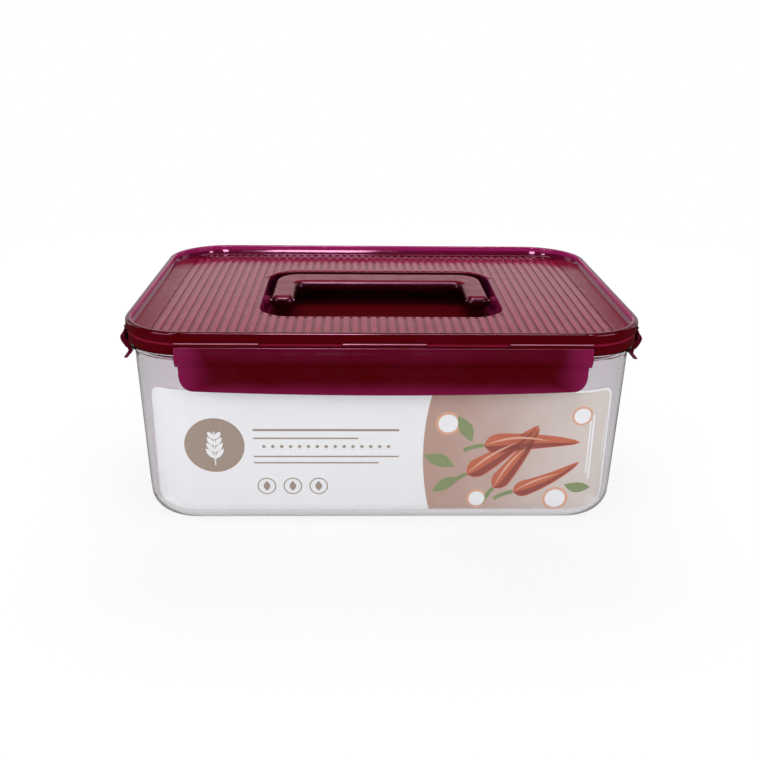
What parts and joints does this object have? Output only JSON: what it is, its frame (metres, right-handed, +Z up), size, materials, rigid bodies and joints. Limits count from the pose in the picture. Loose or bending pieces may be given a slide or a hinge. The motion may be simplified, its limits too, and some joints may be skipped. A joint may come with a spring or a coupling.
{
  "type": "food storage container",
  "caption": "Rectangular clear food container with a ribbed snap-latch lid, sealing ring and a carry handle that folds flat into the lid.",
  "frame": {"origin": "middle of the foot's plane under the tub", "axes": "+X to the right along the long side, +Y to the back, +Z up; the printed card and a long latch face -Y"},
  "size_m": [0.2604, 0.1904, 0.104],
  "materials": {
    "clear_tub": "clear, polished",
    "lid_plastic": "glossy burgundy moulding",
    "seal": "soft matt",
    "card": "printed card, matt"
  },
  "bodies": {
    "tub": {"container_body": "clear_tub", "label_card": "card"},
    "lid": {"lid": "lid_plastic", "lid_seal": "seal"},
    "front_latch": {"front_latch": "lid_plastic"},
    "rear_latch": {"rear_latch": "lid_plastic"},
    "left_latch": {"left_latch": "lid_plastic"},
    "right_latch": {"right_latch": "lid_plastic"},
    "handle": {"handle": "lid_plastic"}
  },
  "joints": [
    {"name": "lid_lift", "type": "slide", "parent": "tub", "child": "lid", "axis": [0, 0, 1], "range_m": [0, 0.024]},
    {"name": "front_latch_hinge", "type": "hinge", "parent": "lid", "child": "front_latch", "pos_m": [0, -0.0921, 0.0985], "axis": [-1, 0, 0], "range_deg": [0, 120]},
    {"name": "rear_latch_hinge", "type": "hinge", "parent": "lid", "child": "rear_latch", "pos_m": [0, 0.0921, 0.0985], "axis": [1, 0, 0], "range_deg": [0, 120]},
    {"name": "left_latch_hinge", "type": "hinge", "parent": "lid", "child": "left_latch", "pos_m": [-0.1271, 0, 0.0985], "axis": [0, 1, 0], "range_deg": [0, 120]},
    {"name": "right_latch_hinge", "type": "hinge", "parent": "lid", "child": "right_latch", "pos_m": [0.1271, 0, 0.0985], "axis": [0, -1, 0], "range_deg": [0, 120]},
    {"name": "handle_swing", "type": "hinge", "parent": "lid", "child": "handle", "pos_m": [0, -0.0065, 0.0948], "axis": [1, 0, 0], "range_deg": [0, 90]}
  ],
  "couplings": [
    {"joint": "front_latch_hinge", "follows": "lid_lift", "rad_per_m": 87.26},
    {"joint": "rear_latch_hinge", "follows": "lid_lift", "rad_per_m": 87.26},
    {"joint": "left_latch_hinge", "follows": "lid_lift", "rad_per_m": 87.26},
    {"joint": "right_latch_hinge", "follows": "lid_lift", "rad_per_m": 87.26}
  ]
}
